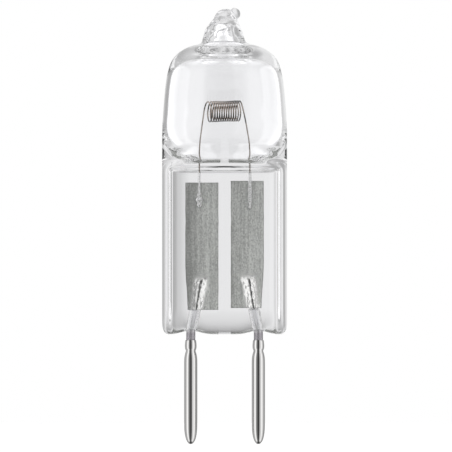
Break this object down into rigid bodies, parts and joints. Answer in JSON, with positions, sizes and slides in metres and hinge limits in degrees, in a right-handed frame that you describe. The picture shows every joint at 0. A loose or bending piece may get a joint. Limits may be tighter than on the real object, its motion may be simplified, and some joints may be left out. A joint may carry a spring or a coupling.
{
  "type": "halogen capsule bulb",
  "caption": "Clear quartz halogen capsule with a pinched flat base, sealed exhaust tip, horizontal coiled filament on foil seals, and straight contact pins.",
  "frame": {"origin": "midway between the contact pins, in the plane where their straight contact walls begin", "axes": "+Z from the pins towards the dome, along the bulb; X through both pins; -Y is the front face of the pinch"},
  "size_m": [0.0118, 0.0116, 0.0411],
  "materials": {
    "quartz": "clear fire-polished fused quartz",
    "tungsten": "drawn tungsten wire",
    "foil": "rolled molybdenum foil with a lengthwise grain",
    "lead_wire": "drawn molybdenum wire",
    "contact": "bright nickel"
  },
  "bodies": {
    "root": {"glass_envelope": "quartz", "filament": "tungsten", "foil_left": "foil", "foil_right": "foil", "outer_lead_left": "lead_wire", "outer_lead_right": "lead_wire", "pin_sleeve_left": "contact", "pin_sleeve_right": "contact"}
  },
  "joints": []
}
